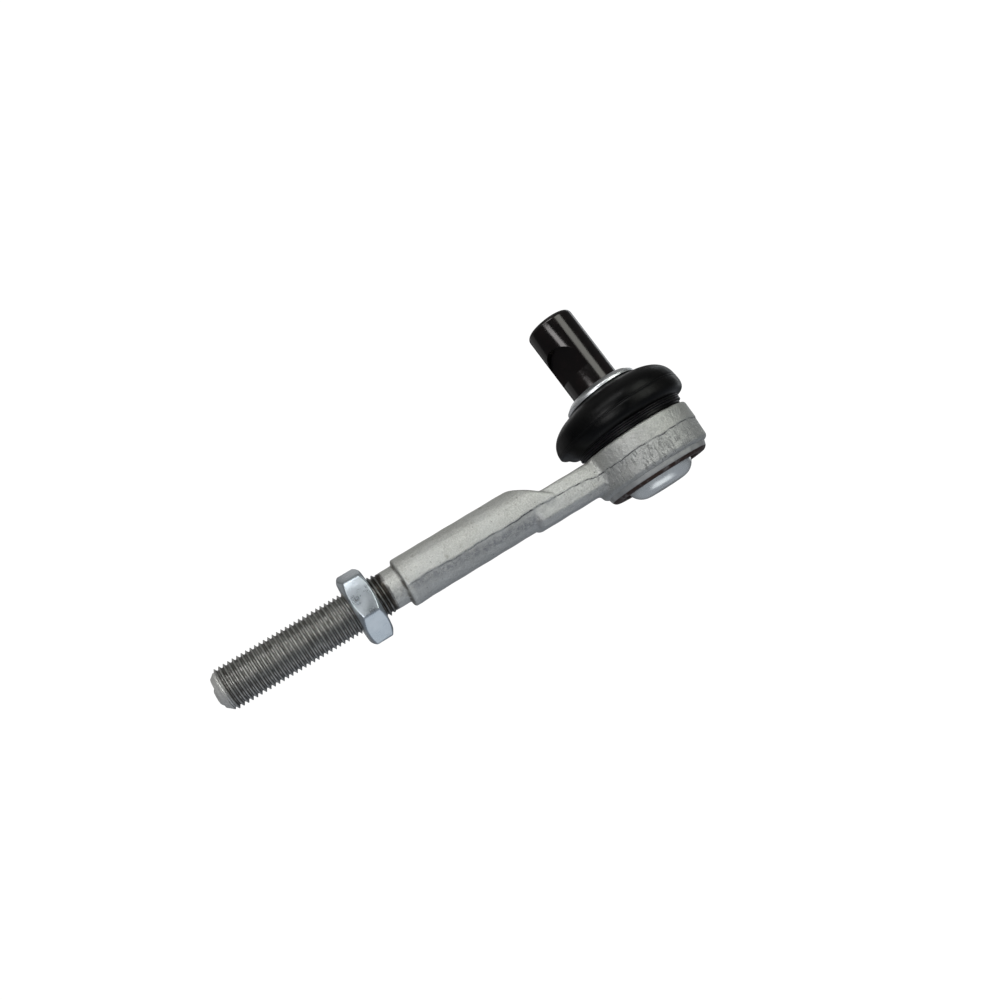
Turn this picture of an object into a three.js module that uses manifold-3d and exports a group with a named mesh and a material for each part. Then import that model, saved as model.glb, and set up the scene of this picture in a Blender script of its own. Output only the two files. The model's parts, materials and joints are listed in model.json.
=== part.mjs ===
// Tie rod end: a forged rod with a male thread at one end and a ball joint at the other.
// The origin is the centre of the thread's end face. +X runs along the thread toward the ball
// joint, and +Z runs along the ball housing's axis toward the pin. All sizes are millimetres.

import * as THREE from 'three';
import { mergeVertices } from 'three/addons/utils/BufferGeometryUtils.js';
import Module from 'manifold-3d';

const wasm = await Module();
wasm.setup();

// ---------------------------------------------------------------- driving dimensions

// Clearances
const staticGap = 0.3;          // between pieces that are assembled without moving
const ballGap = 0.3;            // between the ball and its two seats
const threadGap = 0.3;          // between the thread's crest and the plain bore of the nut
const swingClearance = 1.5;     // between the housing's throat and the stem at full swing

// Threaded rod, round about the X axis
const threadDiameter = 14;
const threadLength = 58;
const tipChamferLength = 2.4;
const tipChamferDepth = 2.1;
const tipNubDiameter = 6.8;     // the cropped nub left in the middle of the rod's end
const tipNubTopDiameter = 3.2;
const tipNubHeight = 1;
const neckRelief = 0.6;         // the neck's radius is this much less than the thread's
const neckLength = 4.2;
const shoulderLength = 2.1;
const shoulderBevelShare = 0.6; // of the shoulder's length, before its small rounding
const shankDiameter = 16.4;
const shankLength = 43.6;
const shankDrop = 0.3;          // the forging lies a little below the thread's axis

// Flat web between the shank and the housing
const rampLength = 7;
const webTop = 1.9;
const webBottom = -9.2;
const webWidth = 15.6;
const webTopRounding = 2.5;
const webBottomRounding = 5;
const webLength = 38.1;         // from the ramp's foot to the ball joint's axis
const webFlare = 9;             // how far before the housing the web starts to widen
const webFlareInset = 0.2;      // the flare starts this far inside the web's sides
const flareMeetAngle = 128;     // degrees round the housing, from +X, where the flare meets it

// Ball joint
const ballCentreZ = -2.5;
const ballDiameter = 22;
const ballFlatDiameter = 6;
const swingLimit = 20;          // degrees either way from the housing's axis
const restTilt = 5;             // degrees that the pin leans as it is held at rest
const restTiltDirection = 124.5; // degrees from +X toward +Y

// Seats, spring and cover inside the housing; heights are from the ball's centre
const shellWall = 1.9;          // at the ball's equator
const shellBelowCentre = 3;
const shellAboveCentre = 6.5;
const shellTopWidth = 1.3;
const cupThickness = 1.3;
const cupRimBelowCentre = 3.5;
const springRoom = 1.5;         // between the cup and the cover
const springThickness = 0.6;
const springOuterDiameter = 13;
const springInnerDiameter = 6;
const coverThickness = 1.2;
const coverFlatDiameter = 12.4;
const coverDomeDiameter = 23.6;
const coverDomeDepth = 5.4;     // from the flange's underside to the flat

// Housing, round about the ball joint's axis
const housingWall = 6.4;        // outside the seat bore
const housingTopAboveCentre = 5.1;
const housingTopChamfer = 0.8;
const housingStepHeight = 4.3;  // above the lip; the wall below is thinner for rolling over
const rolledWallThickness = 3;
const stepCornerHeight = 0.4;   // the corner between the rolled wall and the step
const stepCornerWidth = 0.7;
const stepSlopeHeight = 2;      // the step slopes up to the housing's side by this much
const coverLedge = 1.5;         // the step from the seat bore out to the cover's recess
const lipOverlap = 1;           // how far the lip reaches in under the cover's flange
const lipThickness = 1.5;
const collarWall = 2.1;         // outside the seat bore, inside the boot's bead
const bootGrooveHeight = 3.8;
const bootRidgeHeight = 0.8;
const bootRidgeDepth = 0.8;
const throatLipHeight = 0.4;

// Pin; lengths are from the ball's centre along the pin's axis
const pinDiameter = 17;
const pinLength = 52.4;
const pinChamferLength = 2.2;
const pinChamferDepth = 1.4;
const pinCornerLengthShare = 0.4; // the chamfer's middle corner, as shares of its size
const pinCornerDepthShare = 0.35;
const stemDiameter = 12;
const stemTop = 12;
const stemConeLength = 4.5;
const pocketBottom = 31;
const pocketHeight = 11.4;
const pocketDepth = 3.4;
const pocketDirection = -145;   // degrees from +X toward +Y

// Boot, its rings and the washer
const bootWall = 1.8;
const bootBulgeDiameter = 46.2;
const bootBulgeHeight = 12.1;   // from the ball's centre
const bootBeadWidth = 2.4;
const bootBeadShelf = 0.8;      // inside the bead, where the bulge's wall starts
const bootCollarWidth = 2.2;
const bootLipWidth = 3.6;
const bootLipThickness = 0.7;
const lowerRingWire = 0.7;
const lowerRingTurns = 3;
const upperRingWire = 0.9;
const washerDiameter = 26.2;
const washerThickness = 1.2;
const washerSeatWidth = 2;
const washerDish = 1.6;
const washerTop = 24.4;         // from the ball's centre along the pin's axis

// Jam nut
const nutAcrossFlats = 22;
const nutWidth = 8;
const nutStart = 46;
const nutChamferAngle = 30;
const nutFaceDiameter = 20.6;
const nutCountersink = 0.6;
const nutCornerAngle = 18.3;    // degrees below -Y of the corner nearest the viewer's side

const cutOverrun = 1;           // cutting shapes reach this far past the faces they cut

const roundSides = 36;
const threadSides = 30;
const domeSteps = 5;

// ---------------------------------------------------------------- derived sizes

const neckStart = threadLength;
const neckEnd = neckStart + neckLength;
const shankStart = neckEnd + shoulderLength;
const shankEnd = shankStart + shankLength;
const rampEnd = shankEnd + rampLength;
const ballCentreX = rampEnd + webLength;
const threadRadius = threadDiameter / 2;
const neckRadius = threadRadius - neckRelief;
const shankRadius = shankDiameter / 2;

const ballRadius = ballDiameter / 2;
const seatRadius = ballRadius + ballGap;
const cupRadius = seatRadius + cupThickness;
const shellRadius = seatRadius + shellWall;
const boreRadius = shellRadius + staticGap;
const recessRadius = boreRadius + coverLedge;
const rolledWallRadius = recessRadius + rolledWallThickness;
const housingRadius = boreRadius + housingWall;
const grooveRadius = boreRadius + collarWall;

// Heights in the housing, from the ball's centre, from the cover up.
const coverBottom = -(cupRadius + springRoom + coverThickness);
const coverFlangeBottom = coverBottom + coverDomeDepth;
const coverFlangeTop = coverFlangeBottom + coverThickness;
const recessTop = coverFlangeTop + staticGap;
const lipTop = coverFlangeBottom - staticGap;
const lipBottom = lipTop - lipThickness;
const housingStep = lipBottom + housingStepHeight;
const shellShoulder = shellAboveCentre - shellWall;
const throatBottom = shellAboveCentre + staticGap;
const grooveBottom = housingTopAboveCentre;
const grooveTop = grooveBottom + bootGrooveHeight;
const collarTop = grooveTop + bootRidgeHeight;

const pinRadius = pinDiameter / 2;
const stemRadius = stemDiameter / 2;
const coneTop = stemTop + stemConeLength;
const washerRadius = washerDiameter / 2;
const washerUnderside = washerTop - washerThickness;

const tiltAxis = new THREE.Vector3(0, 0, 1).cross(directionInPlan(restTiltDirection));
const ballCentre = new THREE.Vector3(ballCentreX, 0, ballCentreZ);

// ---------------------------------------------------------------- helpers

function radians(degrees) {
  return THREE.MathUtils.degToRad(degrees);
}

function directionInPlan(degrees) {
  return new THREE.Vector3(Math.cos(radians(degrees)), Math.sin(radians(degrees)), 0);
}

// The radius of a sphere's section at a height from its centre.
function sphereSection(radius, height) {
  return Math.sqrt(radius * radius - height * height);
}

// Points on a circle, in degrees from the profile's outward direction, both ends included.
function arc(centreRadius, centreHeight, radius, from, to, steps) {
  const points = [];
  for (let i = 0; i <= steps; i += 1) {
    const angle = radians(from + ((to - from) * i) / steps);
    points.push([centreRadius + radius * Math.cos(angle), centreHeight + radius * Math.sin(angle)]);
  }
  return points;
}

function toSolid(geometry) {
  geometry.deleteAttribute('normal');
  geometry.deleteAttribute('uv');
  const merged = mergeVertices(geometry, 1e-4);
  const index = merged.index.array;
  const triangles = [];
  for (let i = 0; i < index.length; i += 3) {
    const [a, b, c] = [index[i], index[i + 1], index[i + 2]];
    if (a !== b && b !== c && c !== a) triangles.push(a, b, c);
  }
  return new wasm.Manifold(new wasm.Mesh({
    numProp: 3,
    vertProperties: new Float32Array(merged.attributes.position.array),
    triVerts: new Uint32Array(triangles),
  }));
}

function toGeometry(solid) {
  const mesh = solid.getMesh();
  const geometry = new THREE.BufferGeometry();
  geometry.setAttribute('position', new THREE.BufferAttribute(mesh.vertProperties, 3));
  geometry.setIndex(new THREE.BufferAttribute(mesh.triVerts, 1));
  geometry.computeVertexNormals();
  return geometry;
}

// A profile of [radius, height] points turned about the Z axis, bottom first on the outside.
function turnedAboutZ(profile, sides = roundSides) {
  const points = profile.map(([radius, height]) => new THREE.Vector2(radius, height));
  return new THREE.LatheGeometry(points, sides).rotateX(Math.PI / 2);
}

// The same about the X axis: the height of the profile runs along +X.
function turnedAboutX(profile, sides = roundSides) {
  const points = profile.map(([radius, along]) => new THREE.Vector2(radius, along));
  return new THREE.LatheGeometry(points, sides).rotateZ(-Math.PI / 2);
}

function closed(profile) {
  return [...profile, profile[0]];
}

function outline(points) {
  return new THREE.Shape(points.map(([x, y]) => new THREE.Vector2(x, y)));
}

function addPiece(parent, name, geometry, look) {
  const mesh = new THREE.Mesh(geometry, new THREE.MeshStandardMaterial(look));
  mesh.name = name;
  parent.add(mesh);
  return mesh;
}

// ---------------------------------------------------------------- looks

const looks = {
  forging: { color: 0x9a9b98, roughness: 0.55, metalness: 0.85 },
  zinc: { color: 0xb9c2c8, roughness: 0.32, metalness: 0.95 },
  blackPin: { color: 0x121011, roughness: 0.16, metalness: 0.6 },
  rubber: { color: 0x0d0d0e, roughness: 0.5, metalness: 0 },
  wire: { color: 0x191919, roughness: 0.35, metalness: 0.8 },
  seat: { color: 0xe8e2cf, roughness: 0.45, metalness: 0 },
  spring: { color: 0x6b6e72, roughness: 0.35, metalness: 0.95 },
};

// ---------------------------------------------------------------- forged body

function threadedRod() {
  const rod = toSolid(turnedAboutX([
    [0, -tipNubHeight],
    [tipNubTopDiameter / 2, -tipNubHeight],
    [tipNubDiameter / 2, 0],
    [threadRadius - tipChamferDepth, 0],
    [threadRadius, tipChamferLength],
    [threadRadius, neckStart],
    [neckRadius, neckStart + neckRelief],
    [neckRadius, shankStart],
    [0, shankStart],
  ], threadSides));
  const shoulder = toSolid(turnedAboutX([
    [0, neckEnd],
    [neckRadius - shankDrop, neckEnd],
    [shankRadius - shankDrop, neckEnd + shoulderLength * shoulderBevelShare],
    [shankRadius, shankStart],
    [shankRadius, rampEnd],
    [0, rampEnd],
  ]).translate(0, 0, -shankDrop));
  return rod.add(shoulder).subtract(spaceAboveRamp());
}

// The side outline of the space above the sloping step from the shank down to the web.
function spaceAboveRamp() {
  const shankTop = shankRadius - shankDrop;
  const roof = shankDiameter;
  const side = outline([
    [shankEnd, shankTop],
    [rampEnd, webTop],
    [rampEnd + rampLength, webTop],
    [rampEnd + rampLength, roof],
    [shankEnd, roof],
  ]);
  const space = new THREE.ExtrudeGeometry(side, { depth: shankDiameter * 2, bevelEnabled: false });
  return toSolid(space.rotateX(Math.PI / 2).translate(0, shankDiameter, 0));
}

// The web's cross section, as [y, z] points in order round it.
function webSection() {
  const half = webWidth / 2;
  const upper = arc(half - webTopRounding, webTop - webTopRounding, webTopRounding, 0, 90, 3);
  const lower = arc(half - webBottomRounding, webBottom + webBottomRounding, webBottomRounding, -90, 0, 4);
  const right = [...lower, ...upper];
  const left = right.map(([y, z]) => [-y, z]).reverse();
  return [...right, ...left];
}

function web() {
  const bar = new THREE.ExtrudeGeometry(outline(webSection()), {
    depth: ballCentreX - shankEnd,
    bevelEnabled: false,
  });
  // The section's y and z become the part's y and z, and the depth runs along +X.
  bar.applyMatrix4(new THREE.Matrix4().makeBasis(
    new THREE.Vector3(0, 1, 0),
    new THREE.Vector3(0, 0, 1),
    new THREE.Vector3(1, 0, 0),
  ));
  return toSolid(bar.translate(shankEnd, 0, 0)).add(flare());
}

// The widening of the web where it meets the housing, seen from above.
function flare() {
  const half = webWidth / 2 - webFlareInset;
  const reach = sphereSection(housingRadius, half);
  const start = ballCentreX - reach - webFlare;
  const meetAngle = radians(flareMeetAngle);
  const meetX = ballCentreX + housingRadius * Math.cos(meetAngle);
  const meetY = housingRadius * Math.sin(meetAngle);
  const plan = new THREE.Shape();
  plan.moveTo(start, -half);
  plan.quadraticCurveTo(ballCentreX - reach, -half, meetX, -meetY);
  plan.lineTo(ballCentreX, -meetY);
  plan.lineTo(ballCentreX, meetY);
  plan.lineTo(meetX, meetY);
  plan.quadraticCurveTo(ballCentreX - reach, half, start, half);
  const inset = webTopRounding / 2;
  const height = webTop - webBottom - 2 * inset;
  const block = new THREE.ExtrudeGeometry(plan, { depth: height, bevelEnabled: false, curveSegments: 6 });
  return toSolid(block.translate(0, 0, webBottom + inset));
}

// Nothing of the rod or the web stands above the housing's top face beside the boot.
function spaceRoundCollar() {
  return toSolid(turnedAboutZ([
    [0, ballCentreZ + housingTopAboveCentre],
    [housingRadius + webFlare, ballCentreZ + housingTopAboveCentre],
    [housingRadius + webFlare, ballCentreZ + collarTop + shankDiameter],
    [0, ballCentreZ + collarTop + shankDiameter],
  ]).translate(ballCentreX, 0, 0));
}

function housingOutside() {
  return toSolid(turnedAboutZ([
    [0, lipBottom],
    [rolledWallRadius - lipThickness, lipBottom],
    ...arc(rolledWallRadius - lipThickness, lipTop, lipThickness, -60, 0, 2),
    [rolledWallRadius, housingStep - stepCornerHeight],
    [rolledWallRadius + stepCornerWidth, housingStep],
    [housingRadius, housingStep + stepSlopeHeight],
    [housingRadius, housingTopAboveCentre - housingTopChamfer],
    [housingRadius - housingTopChamfer, housingTopAboveCentre],
    [grooveRadius, grooveBottom],
    [grooveRadius, grooveTop],
    [grooveRadius + bootRidgeDepth, grooveTop],
    [grooveRadius + bootRidgeDepth, collarTop],
    [0, collarTop],
  ]));
}

// How far the stem reaches from the housing's axis at a height, at full swing.
function stemReach(height) {
  const angle = radians(swingLimit);
  return height * Math.tan(angle) + stemRadius / Math.cos(angle);
}

// The through bore: cover recess, seat bore, cone above the bearing shell, and flared throat.
function housingInside() {
  const below = lipBottom - cutOverrun;
  const above = collarTop + cutOverrun;
  const shellTopInner = sphereSection(seatRadius, shellAboveCentre);
  const throatRadius = shellTopInner + staticGap;
  const lipInner = recessRadius - lipOverlap;
  return toSolid(turnedAboutZ([
    [0, below],
    [lipInner, below],
    [lipInner, lipTop],
    [recessRadius, lipTop],
    [recessRadius, recessTop],
    [boreRadius, recessTop],
    [boreRadius, shellShoulder + staticGap],
    [shellTopInner + shellTopWidth + staticGap, throatBottom],
    [throatRadius, throatBottom],
    [throatRadius, throatBottom + throatLipHeight],
    [stemReach(collarTop) + swingClearance, collarTop],
    [stemReach(above) + swingClearance, above],
    [0, above],
  ]));
}

function housing() {
  return housingOutside().subtract(housingInside());
}

function forgedBody() {
  const place = [ballCentreX, 0, ballCentreZ];
  const rod = threadedRod().add(web());
  const hollow = rod.subtract(housingInside().translate(place)).subtract(spaceRoundCollar());
  return toGeometry(hollow.add(housing().translate(place)));
}

// ---------------------------------------------------------------- seats, spring and cover

function bearingShell() {
  const topInner = sphereSection(seatRadius, shellAboveCentre);
  const from = THREE.MathUtils.radToDeg(Math.asin(shellAboveCentre / seatRadius));
  const to = -THREE.MathUtils.radToDeg(Math.asin(shellBelowCentre / seatRadius));
  return toGeometry(toSolid(turnedAboutZ(closed([
    [shellRadius, -shellBelowCentre],
    [shellRadius, shellShoulder],
    [topInner + shellTopWidth, shellAboveCentre],
    ...arc(0, 0, seatRadius, from, to, 8),
  ]))));
}

function pressureCup() {
  const innerRim = -THREE.MathUtils.radToDeg(Math.asin(cupRimBelowCentre / seatRadius));
  const outerRim = -THREE.MathUtils.radToDeg(Math.asin(cupRimBelowCentre / cupRadius));
  return toGeometry(toSolid(turnedAboutZ([
    ...arc(0, 0, cupRadius, -90, outerRim, 7),
    ...arc(0, 0, seatRadius, innerRim, -90, 7),
  ])));
}

// A coned disc spring: its inner edge bears on the cup and its outer edge on the cover.
function preloadSpring() {
  const low = coverBottom + coverThickness + staticGap;
  const high = -cupRadius - staticGap - springThickness;
  return toGeometry(toSolid(turnedAboutZ(closed([
    [springInnerDiameter / 2, high],
    [springOuterDiameter / 2, low],
    [springOuterDiameter / 2, low + springThickness],
    [springInnerDiameter / 2, high + springThickness],
  ]))));
}

// Points of the cover's dome, from its flat to its flange, moved inward by an offset.
function coverDome(offset) {
  const flat = coverFlatDiameter / 2;
  const side = coverDomeDiameter / 2;
  const width = side - flat;
  const points = [];
  for (let i = 0; i <= domeSteps; i += 1) {
    const angle = radians(-90 + (90 * i) / domeSteps);
    const radius = flat + (width - offset) * Math.cos(angle);
    points.push([radius, coverFlangeBottom + (coverDomeDepth - offset) * Math.sin(angle)]);
  }
  return points;
}

function endCover() {
  const flangeRadius = recessRadius - staticGap;
  const outside = coverDome(0);
  const inside = coverDome(coverThickness).reverse();
  return toGeometry(toSolid(turnedAboutZ([
    [0, coverBottom],
    ...outside,
    [flangeRadius, coverFlangeBottom],
    [flangeRadius, coverFlangeTop],
    [coverDomeDiameter / 2 - coverThickness, coverFlangeTop],
    ...inside,
    [0, coverBottom + coverThickness],
  ])));
}

// ---------------------------------------------------------------- pin

function pinPocket() {
  const halfWidth = pinRadius;
  const archRadius = pocketArchRadius();
  const straight = pocketBottom + pocketHeight - archRadius;
  const face = outline([
    [-halfWidth, pocketBottom],
    [halfWidth, pocketBottom],
    [halfWidth, straight],
    ...arc(0, straight, archRadius, 0, 180, 12),
    [-halfWidth, straight],
  ]);
  const cutter = new THREE.ExtrudeGeometry(face, { depth: pinRadius, bevelEnabled: false });
  // The outline's y becomes the pin's axis and the depth points outward from the pin.
  cutter.applyMatrix4(new THREE.Matrix4().makeBasis(
    new THREE.Vector3(0, 1, 0),
    new THREE.Vector3(0, 0, 1),
    new THREE.Vector3(1, 0, 0),
  ));
  cutter.translate(pinRadius - pocketDepth, 0, 0);
  return toSolid(cutter.rotateZ(radians(pocketDirection)));
}

// The arch spans the flat's chord across the pin.
function pocketArchRadius() {
  return sphereSection(pinRadius, pinRadius - pocketDepth);
}

function ballStud() {
  const flatRadius = ballFlatDiameter / 2;
  const bottom = -THREE.MathUtils.radToDeg(Math.acos(flatRadius / ballRadius));
  const top = THREE.MathUtils.radToDeg(Math.acos(stemRadius / ballRadius));
  const stud = toSolid(turnedAboutZ([
    [0, -sphereSection(ballRadius, flatRadius)],
    ...arc(0, 0, ballRadius, bottom, top, 14),
    [stemRadius, stemTop],
    [pinRadius, coneTop],
    [pinRadius, pinLength - pinChamferLength],
    [
      pinRadius - pinChamferDepth * pinCornerDepthShare,
      pinLength - pinChamferLength * pinCornerLengthShare,
    ],
    [pinRadius - pinChamferDepth, pinLength],
    [0, pinLength],
  ]));
  return toGeometry(stud.subtract(pinPocket()));
}

function seatWasher() {
  const hole = pinRadius + staticGap;
  const seat = hole + washerSeatWidth;
  return toGeometry(toSolid(turnedAboutZ(closed([
    [hole, washerUnderside],
    [seat, washerUnderside],
    [washerRadius, washerUnderside - washerDish],
    [washerRadius, washerTop - washerDish],
    [seat, washerTop],
    [hole, washerTop],
  ]))));
}

// ---------------------------------------------------------------- boot and rings

// Heights on the boot, from the ball's centre along the pin's axis.
const beadBottom = grooveBottom + staticGap;
const beadTop = grooveTop - staticGap;
const beadInner = grooveRadius + staticGap;
const beadOuter = beadInner + bootBeadWidth;
const bootTop = washerUnderside - staticGap;
const collarInner = pinRadius + staticGap;
const collarOuter = collarInner + bootCollarWidth;
const lipRadius = collarInner + bootLipWidth;
const bootLipTop = washerUndersideAt(lipRadius) - staticGap;
const ringSlotTop = bootLipTop - bootLipThickness;
const ringSlotBottom = ringSlotTop - upperRingWire - 2 * staticGap;

// The washer is flat round its hole and slopes down toward its rim.
function washerUndersideAt(radius) {
  const seat = pinRadius + staticGap + washerSeatWidth;
  const slope = washerDish / (washerRadius - seat);
  return washerUnderside - Math.max(0, radius - seat) * slope;
}

// A quarter ellipse from the bulge to a point above or below it.
function bulge(offset, endRadius, endHeight, steps, upward) {
  const points = [];
  const width = bootBulgeDiameter / 2 - offset - endRadius;
  const height = endHeight - bootBulgeHeight;
  for (let i = 0; i <= steps; i += 1) {
    const angle = (Math.PI / 2) * (i / steps);
    points.push([endRadius + width * Math.cos(angle), bootBulgeHeight + height * Math.sin(angle)]);
  }
  return upward ? points : points.reverse();
}

// How much of the pin's lean the boot has taken up at a height: none at its lower bead.
function leanShare(height) {
  return THREE.MathUtils.smoothstep(height, beadTop, bootBulgeHeight + bootWall);
}

function leanWithPin(geometry) {
  const position = geometry.attributes.position;
  const point = new THREE.Vector3();
  for (let i = 0; i < position.count; i += 1) {
    point.fromBufferAttribute(position, i);
    point.applyAxisAngle(tiltAxis, radians(restTilt) * leanShare(point.z));
    position.setXYZ(i, point.x, point.y, point.z);
  }
  return geometry;
}

function dustBoot() {
  const shoulderInner = collarInner + bootCollarWidth / 2;
  const lowerOuter = bulge(0, beadOuter, beadTop, 4, false);
  const upperOuter = bulge(0, collarOuter, ringSlotBottom, 6, true);
  const upperInner = bulge(bootWall, shoulderInner, ringSlotBottom - bootWall, 4, false);
  const lowerInner = bulge(bootWall, beadInner + bootBeadShelf, beadTop, 3, true);
  const profile = closed([
    [beadInner, beadBottom],
    [beadOuter, beadBottom],
    ...lowerOuter,
    ...upperOuter.slice(1),
    [collarOuter, ringSlotTop],
    [lipRadius, ringSlotTop],
    [lipRadius, bootLipTop],
    [collarInner + washerSeatWidth, bootTop],
    [collarInner, bootTop],
    [collarInner, ringSlotBottom - bootWall],
    ...upperInner,
    ...lowerInner.slice(1),
    [beadInner, beadTop],
  ]);
  return toGeometry(toSolid(leanWithPin(turnedAboutZ(profile))));
}

// A few turns of round wire, wound round the boot's lower bead.
class WireCoil extends THREE.Curve {
  constructor(radius, bottom, pitch, turns) {
    super();
    Object.assign(this, { radius, bottom, pitch, turns });
  }

  getPoint(share, target = new THREE.Vector3()) {
    const angle = 2 * Math.PI * this.turns * share;
    return target.set(
      this.radius * Math.cos(angle),
      this.radius * Math.sin(angle),
      this.bottom + this.pitch * this.turns * share,
    );
  }
}

function bootLowerRing() {
  const wireRadius = lowerRingWire / 2;
  const radius = beadOuter + staticGap + wireRadius;
  const pitch = (beadTop - beadBottom - lowerRingWire) / lowerRingTurns;
  const path = new WireCoil(radius, beadBottom + wireRadius, pitch, lowerRingTurns);
  const section = outline(arc(0, 0, wireRadius, 0, 300, 5));
  return toGeometry(toSolid(new THREE.ExtrudeGeometry(section, {
    steps: 24 * lowerRingTurns,
    extrudePath: path,
    bevelEnabled: false,
  })));
}

function bootUpperRing() {
  const wireRadius = upperRingWire / 2;
  const radius = collarOuter + staticGap + wireRadius;
  const height = (ringSlotBottom + ringSlotTop) / 2;
  return toGeometry(toSolid(turnedAboutZ(closed(arc(radius, height, wireRadius, -180, 120, 5)))));
}

// ---------------------------------------------------------------- jam nut

function jamNut() {
  const cornerRadius = nutAcrossFlats / 2 / Math.cos(Math.PI / 6);
  const corners = [];
  for (let i = 0; i < 6; i += 1) {
    const angle = radians(180 + nutCornerAngle + 60 * i);
    corners.push([cornerRadius * Math.cos(angle), cornerRadius * Math.sin(angle)]);
  }
  const prism = new THREE.ExtrudeGeometry(outline(corners), { depth: nutWidth, bevelEnabled: false });
  prism.applyMatrix4(new THREE.Matrix4().makeBasis(
    new THREE.Vector3(0, 1, 0),
    new THREE.Vector3(0, 0, 1),
    new THREE.Vector3(1, 0, 0),
  ));
  const faceRadius = nutFaceDiameter / 2;
  const reach = cornerRadius + cutOverrun;
  const drop = (reach - faceRadius) * Math.tan(radians(nutChamferAngle));
  const chamfers = toSolid(turnedAboutX([
    [0, 0],
    [faceRadius, 0],
    [reach, drop],
    [reach, nutWidth - drop],
    [faceRadius, nutWidth],
    [0, nutWidth],
  ]));
  const bore = threadRadius + threadGap;
  const hole = toSolid(turnedAboutX([
    [0, -cutOverrun],
    [bore + nutCountersink + cutOverrun, -cutOverrun],
    [bore, nutCountersink],
    [bore, nutWidth - nutCountersink],
    [bore + nutCountersink + cutOverrun, nutWidth + cutOverrun],
    [0, nutWidth + cutOverrun],
  ], threadSides));
  return toGeometry(toSolid(prism).intersect(chamfers).subtract(hole));
}

// ---------------------------------------------------------------- assembly

const group = new THREE.Group();
addPiece(group, 'forged_body', forgedBody(), looks.forging);

const nutPlace = new THREE.Group();
nutPlace.position.set(nutStart, 0, 0);
group.add(nutPlace);
addPiece(nutPlace, 'jam_nut', jamNut(), looks.zinc);

const ballPlace = new THREE.Group();
ballPlace.position.copy(ballCentre);
group.add(ballPlace);
addPiece(ballPlace, 'end_cover', endCover(), looks.zinc);
addPiece(ballPlace, 'bearing_shell', bearingShell(), looks.seat);
addPiece(ballPlace, 'pressure_cup', pressureCup(), looks.seat);
addPiece(ballPlace, 'preload_spring', preloadSpring(), looks.spring);
addPiece(ballPlace, 'dust_boot', dustBoot(), looks.rubber);
addPiece(ballPlace, 'boot_lower_ring', bootLowerRing(), looks.wire);

const leaningPin = new THREE.Group();
leaningPin.quaternion.setFromAxisAngle(tiltAxis, radians(restTilt));
ballPlace.add(leaningPin);
addPiece(leaningPin, 'boot_upper_ring', bootUpperRing(), looks.wire);
addPiece(leaningPin, 'ball_stud', ballStud(), looks.blackPin);
addPiece(leaningPin, 'seat_washer', seatWasher(), looks.zinc);

export default group;
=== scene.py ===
import json
import math

import bmesh
import bpy
import numpy as np
from mathutils import Matrix, Vector


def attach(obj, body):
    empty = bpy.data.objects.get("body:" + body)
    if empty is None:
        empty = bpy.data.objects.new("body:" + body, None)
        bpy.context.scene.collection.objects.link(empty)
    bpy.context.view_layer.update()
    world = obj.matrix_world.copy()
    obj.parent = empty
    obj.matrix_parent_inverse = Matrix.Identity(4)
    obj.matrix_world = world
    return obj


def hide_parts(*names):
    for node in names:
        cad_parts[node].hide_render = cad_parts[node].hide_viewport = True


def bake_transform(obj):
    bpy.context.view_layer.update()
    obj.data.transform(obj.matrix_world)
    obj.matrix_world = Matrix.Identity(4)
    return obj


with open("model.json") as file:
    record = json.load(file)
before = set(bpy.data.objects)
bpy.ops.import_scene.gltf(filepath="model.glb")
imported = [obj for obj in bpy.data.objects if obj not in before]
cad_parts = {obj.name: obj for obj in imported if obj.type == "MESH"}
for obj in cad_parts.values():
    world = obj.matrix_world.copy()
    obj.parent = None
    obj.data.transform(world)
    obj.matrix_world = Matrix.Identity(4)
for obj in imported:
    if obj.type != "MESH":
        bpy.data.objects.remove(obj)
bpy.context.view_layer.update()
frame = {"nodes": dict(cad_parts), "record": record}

# ---------------- sizes, in millimetres

MM = 0.001

# Threaded rod, round about the X axis
THREAD_RADIUS = 7.0
THREAD_PITCH = 1.5
THREAD_DEPTH = 0.92
THREAD_LENGTH = 58.0
THREAD_START = 3.9            # where the crest line crosses the top of the rod
TIP_CHAMFER = 2.4
TIP_RADIUS = 4.9
TIP_NUB_DROP = 0.9            # the cropped nub is off centre
THREAD_FADE = 1.6             # length over which the thread runs out
THREAD_END_CLEAR = 0.2        # between the run-out and the neck
THREAD_OVERLAP = 1.6          # how far the rod's mesh runs into the neck
NECK_RADIUS = 6.4
SHANK_START = 64.3
SHANK_END = 107.9
SHANK_RADIUS = 8.2
SHANK_DROP = 0.3
RAMP_END = 114.9

# Flat web
WEB_TOP = 1.9
WEB_BOTTOM = -9.2
WEB_HALF = 7.8
WEB_CHAMFER = 2.6

# Housing, heights from the ball's centre
HOUSING_RADIUS = 19.9
HOUSING_TOP = 5.1
HOUSING_STEP = -8.7
ROLLED_WALL_RADIUS = 18.0
LIP_BOTTOM = -11.7
LIP_THICKNESS = 1.5
LIP_INNER_RADIUS = 14.0
RECESS_RADIUS = 15.0
RECESS_TOP = -8.4
BORE_RADIUS = 13.5
BORE_TOP = 4.6
THROAT_RADIUS = 9.6
THROAT_FLARE_START = 7.2
THROAT_FLARE = 0.75           # added radius per mm of height
COLLAR_RADIUS = 15.6
COLLAR_TOP = 9.7
PARTING_DROP = 1.4            # where the housing is widest, below the ball's centre

# Cover
COVER_BOTTOM = -15.29
COVER_FLANGE = -9.9
COVER_THICKNESS = 1.2
COVER_FLAT_RADIUS = 6.2
COVER_DOME_RADIUS = 11.8
COVER_FLANGE_RADIUS = 14.7

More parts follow.
